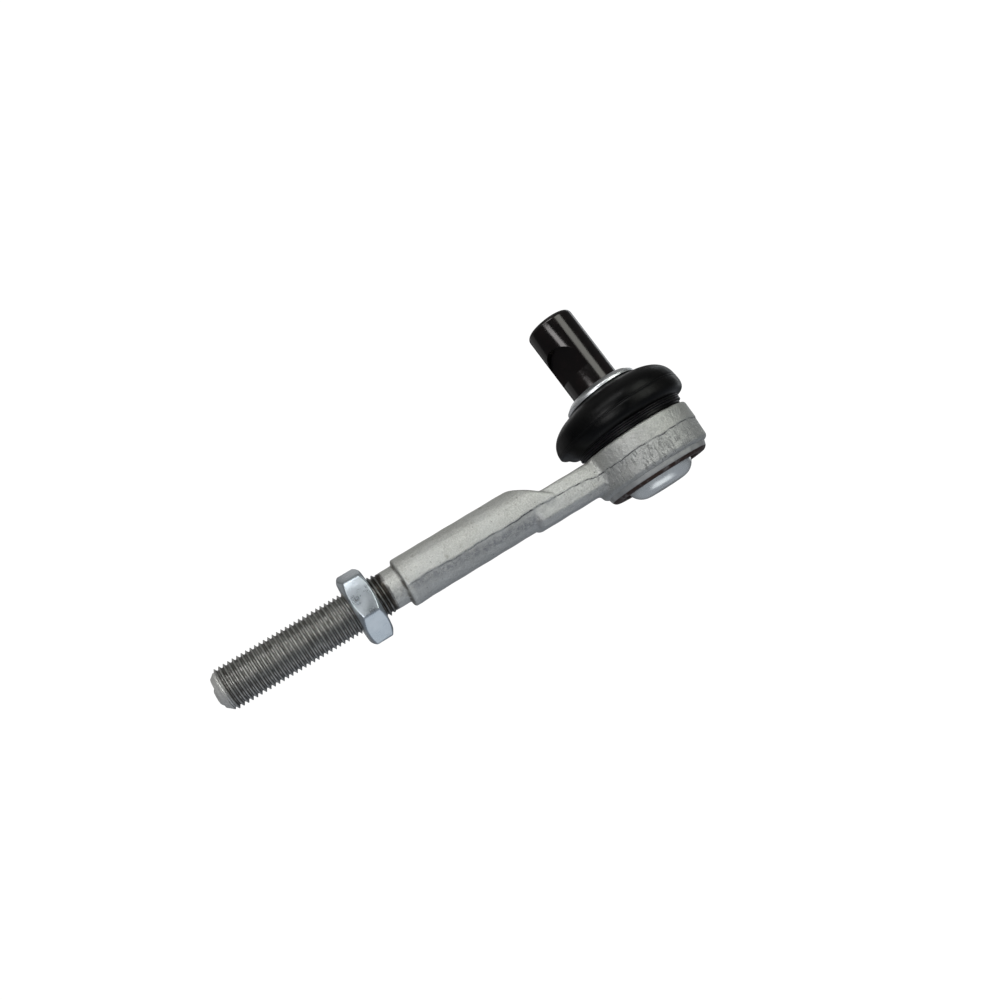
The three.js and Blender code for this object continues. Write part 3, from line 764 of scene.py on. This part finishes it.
def surface_net(distance, low, high, step):
    """Points and quads of the zero surface of a distance function, in a box."""
    axes = [np.arange(low[i], high[i] + step, step) for i in range(3)]
    grid = np.meshgrid(*axes, indexing="ij")
    value = distance(*grid).astype(np.float32)
    inside = value < 0
    shape = np.array(value.shape) - 1
    steps = [(a, b, c) for a in (0, 1) for b in (0, 1) for c in (0, 1)]
    count = np.zeros(shape, np.int8)
    for a, b, c in steps:
        count += inside[a:shape[0] + a, b:shape[1] + b, c:shape[2] + c]
    cells = np.argwhere((count > 0) & (count < 8))
    number = np.full(shape, -1, np.int64)
    number[tuple(cells.T)] = np.arange(len(cells))
    total = np.zeros((len(cells), 3))
    crossings = np.zeros(len(cells))
    for start in steps:
        for axis in range(3):
            if start[axis]:
                continue
            end = list(start)
            end[axis] = 1
            a = value[tuple((cells + start).T)]
            b = value[tuple((cells + end).T)]
            cross = (a < 0) != (b < 0)
            share = np.where(cross, a / np.where(cross, a - b, 1), 0)
            point = np.tile(np.array(start, float), (len(cells), 1))
            point[:, axis] += share
            total += point * cross[:, None]
            crossings += cross
    points = np.array(low) + (cells + total / crossings[:, None]) * step
    quads = []
    for axis in range(3):
        u, v = (axis + 1) % 3, (axis + 2) % 3
        here = [slice(1, n) for n in shape]
        here[axis] = slice(0, shape[axis])
        ahead = list(here)
        ahead[axis] = slice(1, shape[axis] + 1)
        first, second = inside[tuple(here)], inside[tuple(ahead)]
        where = np.argwhere(first != second)
        flips = first[tuple(where.T)]
        base = where + np.array([0 if i == axis else 1 for i in range(3)])
        ring = []
        for du, dv in ((0, 0), (1, 0), (1, 1), (0, 1)):
            cell = base.copy()
            cell[:, u] -= 1 - du
            cell[:, v] -= 1 - dv
            ring.append(number[tuple(cell.T)])
        ring = np.stack(ring, 1)
        ring[~flips] = ring[~flips][:, ::-1]
        quads.append(ring)
    return points, np.concatenate(quads)


def settle(points, distance):
    """Moves points along the gradient onto the zero surface."""
    rounds, reach = 2, 0.02
    least_steepness, furthest = 0.25, 0.15
    for _ in range(rounds):
        x, y, z = points.T
        value = distance(x, y, z)
        slope = np.stack([
            distance(x + reach, y, z) - distance(x - reach, y, z),
            distance(x, y + reach, z) - distance(x, y - reach, z),
            distance(x, y, z + reach) - distance(x, y, z - reach),
        ], 1) / (2 * reach)
        steepness = np.maximum((slope ** 2).sum(1), least_steepness)
        move = np.clip(value / steepness, -furthest, furthest)
        points = points - slope * move[:, None]
    return points


def forging():
    step = 0.36
    half_width, top = 21.2, 9.4
    low = (THREAD_LENGTH - 0.3, -half_width, BALL.z + HOUSING_STEP - 1.6)
    high = (BALL.x + HOUSING_RADIUS + 1.2, half_width, top)
    points, quads = surface_net(forging_distance, low, high, step)
    points = settle(points, forging_distance)
    piece = new_piece("forged_arm", points, quads.tolist(), smooth_angle=50)
    dress(piece, "forging", "body", "forging", "forged_body")


def rolled_lip():
    profile = [
        (BORE_RADIUS + 1.6, HOUSING_STEP + 0.5),
        (RECESS_RADIUS, RECESS_TOP),
        (RECESS_RADIUS, LIP_BOTTOM + LIP_THICKNESS),
        (LIP_INNER_RADIUS, LIP_BOTTOM + LIP_THICKNESS - 0.2),
        (LIP_INNER_RADIUS + 0.1, LIP_BOTTOM + 0.25),
        (LIP_INNER_RADIUS + 0.9, LIP_BOTTOM),
        (ROLLED_WALL_RADIUS - 1.2, LIP_BOTTOM + 0.15),
        (ROLLED_WALL_RADIUS - 0.25, LIP_BOTTOM + 1.1),
        (ROLLED_WALL_RADIUS + 0.15, HOUSING_STEP - 0.4),
        (ROLLED_WALL_RADIUS + 0.5, HOUSING_STEP + 0.5),
    ]
    profile = rounded(profile, [0, 0, 0.2, 0.15, 0.3, 0.5, 0.7, 0.8, 0.6, 0])
    piece = turned("rolled_lip", profile, 144, TO_BALL, closed=True, smooth_angle=60)
    dress(piece, "lip_steel", "body", "forging", "forged_body")


def thread_radius(along, angle):
    """The M14 profile, fading in at the tip's chamfer and out at the neck."""
    turn = (angle - math.pi / 2) / (2 * math.pi)
    phase = ((along - THREAD_START) / THREAD_PITCH - turn) % 1.0
    from_crest = 0.5 - np.abs(phase - 0.5)
    crest_flat, root_flat = 0.05, 0.13
    share = np.clip((from_crest - crest_flat) / (0.5 - crest_flat - root_flat), 0, 1)
    share = share + 0.10 * np.sin(2 * math.pi * share) / (2 * math.pi)
    radius = THREAD_RADIUS - THREAD_DEPTH * share
    last = THREAD_LENGTH - THREAD_END_CLEAR
    in_neck = NECK_RADIUS - 0.05
    fade = np.clip((last - along) / THREAD_FADE, 0, 1)
    radius = radius * fade + np.minimum(radius, in_neck) * (1 - fade)
    radius = np.where(along > last, np.maximum(radius, in_neck), radius)
    chamfer = TIP_RADIUS + along * (THREAD_RADIUS - TIP_RADIUS) / TIP_CHAMFER
    shallow_groove = 0.05 * np.exp(-((along - 0.9) / 0.3) ** 2)
    chamfer = chamfer - shallow_groove
    return np.minimum(radius, chamfer)


def threaded_rod():
    sides = 144
    step = 0.075
    rings = np.arange(0.0, THREAD_LENGTH + THREAD_OVERLAP, step)
    angle = np.linspace(0, 2 * math.pi, sides, endpoint=False)
    along, around = np.meshgrid(rings, angle, indexing="ij")
    radius = thread_radius(along, around)
    points = np.stack([along, radius * np.cos(around), radius * np.sin(around)], -1).reshape(-1, 3)
    faces = grid_faces(len(rings), sides)
    points = tip_face(points, faces, sides)
    last = (len(rings) - 1) * sides
    faces.append([last + k for k in range(sides)])
    piece = new_piece("threaded_rod", points, faces, smooth_angle=60)
    dress(piece, "thread", "body", "forging", "forged_body")


def tip_face(points, faces, sides):
    """Closes the thread's end with a flat ring round a rough, low nub. Adds to faces, gives points."""
    rings = [(4.3, 0.0), (3.3, -0.12), (2.8, -0.30), (2.35, -0.70),
             (1.8, -0.93), (1.1, -0.97), (0.5, -0.9)]
    nub_middle = -0.86
    points = [tuple(p) for p in points]
    previous = list(range(sides))
    for radius, place in rings:
        start = len(points)
        for k in range(sides):
            angle = 2 * math.pi * k / sides
            uneven = 1 + 0.05 * math.sin(3 * angle + 1) + 0.03 * math.sin(7 * angle)
            reach = radius * uneven
            drop = TIP_NUB_DROP * min(-place / 0.3, 1)
            points.append((place, reach * math.cos(angle), reach * math.sin(angle) - drop))
        current = list(range(start, start + sides))
        for k in range(sides):
            n = (k + 1) % sides
            faces.append([previous[n], current[n], current[k], previous[k]])
        previous = current
    points.append((nub_middle, 0, -TIP_NUB_DROP))
    centre = len(points) - 1
    faces += [[previous[(k + 1) % sides], centre, previous[k]] for k in range(sides)]
    return points


# ---------------- turned pieces

def end_cover():
    width = COVER_DOME_RADIUS - COVER_FLAT_RADIUS
    depth = COVER_FLANGE - COVER_BOTTOM
    steps = 16

    def dome(offset):
        points = []
        for k in range(steps + 1):
            a = math.radians(-90 + 90 * k / steps)
            radius = COVER_FLAT_RADIUS + (width - offset) * math.cos(a)
            points.append((radius, COVER_FLANGE + (depth - offset) * math.sin(a)))
        return points

    outer = [(0, COVER_BOTTOM), (3.0, COVER_BOTTOM)] + dome(0)
    outer = outer + arc(COVER_DOME_RADIUS + 0.6, COVER_FLANGE - 0.6, 0.6, 180, 90, 4)[1:]
    rim = rounded([
        (COVER_FLANGE_RADIUS - 0.8, COVER_FLANGE),
        (COVER_FLANGE_RADIUS, COVER_FLANGE),
        (COVER_FLANGE_RADIUS, COVER_FLANGE + COVER_THICKNESS),
        (COVER_DOME_RADIUS - COVER_THICKNESS, COVER_FLANGE + COVER_THICKNESS),
    ], 0.2)
    inner = dome(COVER_THICKNESS)[::-1] + [(0, COVER_BOTTOM + COVER_THICKNESS)]
    piece = turned("domed_cover", outer + rim + inner, 144, TO_BALL, smooth_angle=50)
    dress(piece, "zinc_cover", "body", "zinc_cover", "end_cover")


def ball_pin():
    """The pin and its ball, made upright at the origin and then leaned."""
    top = PIN_LENGTH
    bottom_flat, stem_meets = -74, 56.9
    ball = arc(0, 0, BALL_RADIUS, bottom_flat, stem_meets, 40)
    shaft = rounded([
        ball[-1],
        (STEM_RADIUS, STEM_TOP),
        (PIN_RADIUS, CONE_TOP),
        (PIN_RADIUS, top - 1.3),
        (PIN_RADIUS - 0.3, top - 0.6),
        (PIN_RADIUS - 1.0, top),
        (3.0, top),
        (0, top),
    ], [0, 1.5, 0.8, 0.9, 0.8, 0.8, 0, 0], steps=5)
    profile = [(0, ball[0][1]), (ball[0][0] - 0.3, ball[0][1])] + ball + shaft[1:]
    piece = turned("ball_pin", profile, 160, smooth_angle=50)
    half = math.sqrt(PIN_RADIUS ** 2 - POCKET_FLOOR ** 2)
    straight = POCKET_BOTTOM + POCKET_HEIGHT - half
    outline = [(-PIN_RADIUS, POCKET_BOTTOM), (PIN_RADIUS, POCKET_BOTTOM), (PIN_RADIUS, straight)]
    outline += arc(0, straight, half, 0, 180, 40)
    outline += [(-PIN_RADIUS, straight)]
    turn = Matrix.Rotation(math.radians(POCKET_DIRECTION), 4, "Z")
    stand = Matrix.Translation((POCKET_FLOOR, 0, 0)) @ ABOUT_X
    cutter = prism("pocket_cutter", outline, PIN_RADIUS, turn @ stand)
    boolean(piece, cutter, "DIFFERENCE")
    bevel(piece, 0.28, 38)
    tidy(piece, 50)
    piece.data.transform(Matrix.Scale(1 / MM, 4))
    piece.data.transform(Matrix.Scale(MM, 4) @ TO_PIN)
    dress(piece, "black_pin", "pin", "black_pin", "ball_stud")


def washer():
    under = WASHER_TOP - WASHER_THICKNESS
    profile = rounded([
        (WASHER_HOLE, under),
        (WASHER_SEAT, under),
        (WASHER_RADIUS, under - WASHER_DISH),
        (WASHER_RADIUS, WASHER_TOP - WASHER_DISH - 0.1),
        (WASHER_SEAT, WASHER_TOP),
        (WASHER_HOLE, WASHER_TOP),
    ], [0.15, 1.0, 0.3, 0.45, 0.8, 0.2], ends=True, steps=5)
    piece = turned("dished_washer", profile, 144, TO_PIN, closed=True, smooth_angle=50)
    dress(piece, "zinc_washer", "pin", "zinc_washer", "seat_washer")


# ---------------- nut

def jam_nut():
    corner = NUT_FLATS / 2 / math.cos(math.pi / 6)
    outline = arc(0, 0, corner, 180 + NUT_CORNER, 180 + NUT_CORNER + 300, 5)
    outline = rounded(outline, NUT_CORNER_ROUND, steps=3, ends=True)
    place = Matrix.Translation((NUT_START, 0, NUT_DROP)) @ ABOUT_X
    piece = prism("hex_jam_nut", outline, NUT_WIDTH, place)
    first, last = -CUT_OVERRUN, NUT_WIDTH + CUT_OVERRUN
    reach = corner + CUT_OVERRUN
    slope = math.tan(math.radians(NUT_CHAMFER_ANGLE))
    drop = (reach - NUT_FACE_RADIUS) * slope
    past = NUT_FACE_RADIUS - CUT_OVERRUN / slope
    limits = turned("nut_chamfer", [
        (0, first),
        (past, first),
        (reach, drop),
        (reach, NUT_WIDTH - drop),
        (past, last),
        (0, last),
    ], 192, place)
    boolean(piece, limits, "INTERSECT")
    mouth = NUT_BORE + NUT_COUNTERSINK
    hole = turned("nut_hole", [
        (0, first),
        (mouth + NUT_COUNTERSINK, first),
        (mouth, 0),
        (NUT_BORE, NUT_COUNTERSINK),
        (NUT_BORE, NUT_WIDTH - NUT_COUNTERSINK),
        (mouth, NUT_WIDTH),
        (mouth + NUT_COUNTERSINK, last),
        (0, last),
    ], 96, place)
    boolean(piece, hole, "DIFFERENCE")
    bevel(piece, 0.32, 22)
    tidy(piece, 40)
    dress(piece, "zinc_nut", "nut", "zinc_nut", "jam_nut")


# ---------------- boot

def lean_share(height):
    """How much of the pin's lean the boot follows: none at its bead, all just above its bulge."""
    t = min(max((height - BEAD_TOP) / (BOOT_BULGE_HEIGHT + 0.4 - BEAD_TOP), 0), 1)
    return t * t * (3 - 2 * t)


def lean_and_sag(point):
    """Bends the upright boot to the pin's lean, and lets its bulge hang on the side it leans to."""
    side = max(-point.x / BOOT_BULGE_RADIUS, 0) ** 2
    outside = min(max((math.hypot(point.x, point.y) - BEAD_OUTER) / 2, 0), 1)
    lower_half = min(max((BOOT_BULGE_HEIGHT - point.z) / 3.5, 0), 1)
    point.x -= BOOT_SQUEEZE * side * lean_share(point.z)
    point.z -= BOOT_SAG * side * outside * lower_half
    return Matrix.Rotation(REST_TILT * lean_share(point.z), 3, TILT_AXIS) @ point


def dust_boot():
    under = WASHER_TOP - WASHER_THICKNESS - 0.1
    rim = (WASHER_RADIUS + 0.15, under - WASHER_DISH - 0.12)

    def bulge(offset, radius, height, power, steps):
        """A quarter of a rounded square, from the widest point to (radius, height)."""
        width = BOOT_BULGE_RADIUS - offset - radius
        rise = height - BOOT_BULGE_HEIGHT
        points = []
        for k in range(steps + 1):
            a = math.pi / 2 * k / steps
            across = max(math.cos(a), 0) ** power
            points.append((radius + width * across, BOOT_BULGE_HEIGHT + rise * math.sin(a) ** power))
        return points

    lower = bulge(0, BEAD_OUTER - 0.6, BEAD_TOP - 0.5, 0.9, 18)[::-1]
    upper = bulge(0, rim[0] - 4.0, rim[1] - 0.3, 0.86, 40)
    upper = [point for point in upper if point[0] > rim[0] + 0.7]
    seam = [
        (BOOT_BULGE_RADIUS - 0.10, BOOT_BULGE_HEIGHT - 0.22),
        (BOOT_BULGE_RADIUS + 0.04, BOOT_BULGE_HEIGHT - 0.12),
        (BOOT_BULGE_RADIUS + 0.04, BOOT_BULGE_HEIGHT + 0.12),
        (BOOT_BULGE_RADIUS - 0.10, BOOT_BULGE_HEIGHT + 0.22),
    ]
    inner_up = bulge(BOOT_WALL, BOOT_COLLAR_INNER + 3.0, rim[1] - 2.0, 1.0, 14)[::-1]
    inner_low = bulge(BOOT_WALL, BEAD_INNER + 0.8, BEAD_TOP, 0.9, 10)
    bead = [(BEAD_INNER, BEAD_BOTTOM), (BEAD_OUTER, BEAD_BOTTOM), (BEAD_OUTER, BEAD_TOP - 0.6)]
    profile = rounded(bead, 0.3)
    profile += lower[:-1] + seam + upper[1:]
    profile += [
        rim,
        (rim[0] - 0.6, rim[1] + 0.1),
        (WASHER_SEAT + 0.2, under - 0.25),
        (BOOT_COLLAR_INNER, under - 0.1),
        (BOOT_COLLAR_INNER, rim[1] - 2.6),
        (BOOT_COLLAR_INNER + 1.4, rim[1] - 2.6),
    ]
    profile += inner_up + inner_low[1:] + [(BEAD_INNER, BEAD_TOP - 0.3)]
    piece = turned("rubber_boot", profile, 160, closed=True, smooth_angle=60)
    for vertex in piece.data.vertices:
        vertex.co = (lean_and_sag(vertex.co / MM) + BALL) * MM
    dress(piece, "boot_rubber", None, "boot_rubber", "dust_boot")
    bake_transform(piece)


def wire_ring():
    """A few turns of round wire round the boot's lower bead, with its two ends cut square."""
    radius = BEAD_OUTER + 0.1 + RING_WIRE / 2
    bottom = BEAD_BOTTOM + 0.25 + RING_WIRE / 2
    pitch = (BEAD_TOP - BEAD_BOTTOM - 0.3 - RING_WIRE) / RING_TURNS
    sections, around = 12, 120 * RING_TURNS
    points = []
    for i in range(around + 1):
        turn = 2 * math.pi * RING_TURNS * i / around
        middle = bottom + pitch * turn / (2 * math.pi)
        for k in range(sections):
            a = 2 * math.pi * k / sections
            reach = radius + RING_WIRE / 2 * math.cos(a)
            height = middle + RING_WIRE / 2 * math.sin(a)
            points.append((reach * math.cos(turn), reach * math.sin(turn), height))
    faces = grid_faces(around + 1, sections)
    faces.append(list(range(sections)))
    faces.append([around * sections + k for k in range(sections)][::-1])
    piece = new_piece("wire_ring", points, faces, TO_BALL, 60)
    dress(piece, "ring_wire", "body", "ring_wire", "boot_lower_ring")


# ---------------- hidden CAD pieces

def dress_hidden_pieces():
    slots = {"bearing_shell": "seat_plastic", "pressure_cup": "seat_plastic",
             "preload_spring": "spring_steel", "boot_upper_ring": "ring_wire"}
    for node, look in slots.items():
        piece = frame["nodes"][node]
        if not piece.material_slots:
            piece.data.materials.append(LOOKS[look])
        for slot in piece.material_slots:
            slot.material = LOOKS[look]


# ---------------- camera, floor and light

# Millimetres and degrees, fitted to the outlines of the object
CAMERA_TARGET = (103.7, 0.0, 6.5)
CAMERA_DISTANCE = 346.4
CAMERA_AZIMUTH = -12.23
CAMERA_ELEVATION = -6.44
CAMERA_ROLL = 32.29
CAMERA_LENS = 39.27
FLOOR_HEIGHT = -0.16          # in metres, as the floor's and the lights' other sizes
FLOOR_HALF = 1.6
LIGHT_TARGET = (110, 0, 5)    # in millimetres, as the camera's
WORLD_BOTTOM = (0.30, 0.32, 0.36, 1)
WORLD_TOP = (0.36, 0.36, 0.355, 1)
# Colours between the two, from 0 straight down to 1 straight up
WORLD_STOPS = {
    0.25: (0.30, 0.32, 0.35, 1),
    0.48: (0.08, 0.08, 0.085, 1),
    0.68: (0.10, 0.10, 0.10, 1),
    0.86: (0.17, 0.17, 0.168, 1),
}


def back_along(azimuth, elevation):
    """The unit vector from a target back to what looks at it, from angles in degrees."""
    a, e = math.radians(azimuth), math.radians(elevation)
    return Vector((math.sin(a) * math.cos(e), -math.cos(a) * math.cos(e), math.sin(e)))


def facing(back):
    """The turn that points a camera or a light against that vector."""
    return (-back).to_track_quat("-Z", "Y").to_matrix().to_4x4()


def place_camera():
    data = bpy.data.cameras.new("camera")
    data.lens = CAMERA_LENS
    data.sensor_width = 36
    data.clip_start = 0.01
    camera = add_object("camera", data)
    back = back_along(CAMERA_AZIMUTH, CAMERA_ELEVATION)
    spin = Matrix.Rotation(-math.radians(CAMERA_ROLL), 4, "Z")
    place = Matrix.Translation((Vector(CAMERA_TARGET) + back * CAMERA_DISTANCE) * MM)
    camera.matrix_world = place @ facing(back) @ spin
    bpy.context.scene.camera = camera


def lay_floor():
    mesh = bpy.data.meshes.new("floor")
    signs = [(-1, -1), (1, -1), (1, 1), (-1, 1)]
    corners = [(x * FLOOR_HALF, y * FLOOR_HALF, FLOOR_HEIGHT) for x, y in signs]
    mesh.from_pydata(corners, [], [[0, 1, 2, 3]])
    floor = add_object("floor", mesh)
    look = Look("floor")
    look.set(Metallic=0.0, Specular_IOR_Level=0.1)
    look.set(Emission_Color=(1, 1, 1, 1), Emission_Strength=0.95)
    mottle = look.noise(0.02, 3, 0.5)
    colour = look.mix(mottle, (0.93, 0.93, 0.93), (0.96, 0.96, 0.96))
    mesh.materials.append(look.finish(colour, look.ramp(mottle, 0.3, 0.7, 0.85, 0.95)))
    floor.visible_diffuse = False
    floor.visible_glossy = False


def soft_light(name, power, size, azimuth, elevation, distance, colour=(1, 1, 1)):
    """An area light that faces the part from a direction in degrees and a distance in metres."""
    data = bpy.data.lights.new(name, "AREA")
    data.shape = "RECTANGLE"
    data.size, data.size_y = size
    data.energy = power
    data.color = colour
    light = add_object(name, data)
    light.visible_camera = False
    back = back_along(azimuth, elevation)
    place = Vector(LIGHT_TARGET) * MM + back * distance
    light.matrix_world = Matrix.Translation(place) @ facing(back)


def light_world():
    """A dim studio that the part reflects, brighter above and below, and white to the camera."""
    world = bpy.data.worlds.new("studio")
    bpy.context.scene.world = world
    world.use_nodes = True
    tree = world.node_tree
    nodes, links = tree.nodes, tree.links
    background = nodes["Background"]
    coordinates = nodes.new("ShaderNodeTexCoord")
    split = nodes.new("ShaderNodeSeparateXYZ")
    height = nodes.new("ShaderNodeMapRange")
    height.inputs["From Min"].default_value = -1.0
    height.inputs["From Max"].default_value = 1.0
    ramp = nodes.new("ShaderNodeValToRGB")
    ramp.color_ramp.elements[0].color = WORLD_BOTTOM
    ramp.color_ramp.elements[1].color = WORLD_TOP
    for position, colour in WORLD_STOPS.items():
        ramp.color_ramp.elements.new(position).color = colour
    links.new(coordinates.outputs["Generated"], split.inputs[0])
    links.new(split.outputs["Z"], height.inputs["Value"])
    links.new(height.outputs[0], ramp.inputs[0])
    links.new(ramp.outputs[0], background.inputs["Color"])
    backdrop = nodes.new("ShaderNodeBackground")
    backdrop.inputs["Color"].default_value = (1, 1, 1, 1)
    backdrop.inputs["Strength"].default_value = 1.05
    path = nodes.new("ShaderNodeLightPath")
    choice = nodes.new("ShaderNodeMixShader")
    links.new(path.outputs["Is Camera Ray"], choice.inputs[0])
    links.new(background.outputs[0], choice.inputs[1])
    links.new(backdrop.outputs[0], choice.inputs[2])
    links.new(choice.outputs[0], nodes["World Output"].inputs["Surface"])


def light_studio():
    """Lights by name: power, size, azimuth, elevation, distance and colour."""
    light_world()
    soft_light("key", 0.9, (0.5, 0.14), -14, 46, 0.6)
    soft_light("front", 1.65, (0.23, 0.45), -29, 5, 0.7)
    soft_light("side", 1.45, (0.30, 0.5), 40, 14, 0.65, (0.97, 1.0, 0.93))
    soft_light("below", 0.42, (0.5, 0.4), -14, -85, 0.6, (0.95, 0.98, 1.0))
    soft_light("left", 0.22, (0.6, 0.5), -140, 10, 0.7)
    soft_light("back", 0.12, (0.4, 0.2), 166, 30, 0.7)
    soft_light("rim", 0.3, (0.2, 0.5), 128, 10, 0.7, (0.93, 0.97, 1.0))


bpy.context.scene.view_settings.view_transform = "Standard"
place_camera()
lay_floor()
light_studio()
forging()
rolled_lip()
threaded_rod()
end_cover()
ball_pin()
washer()
jam_nut()
dust_boot()
wire_ring()
dress_hidden_pieces()
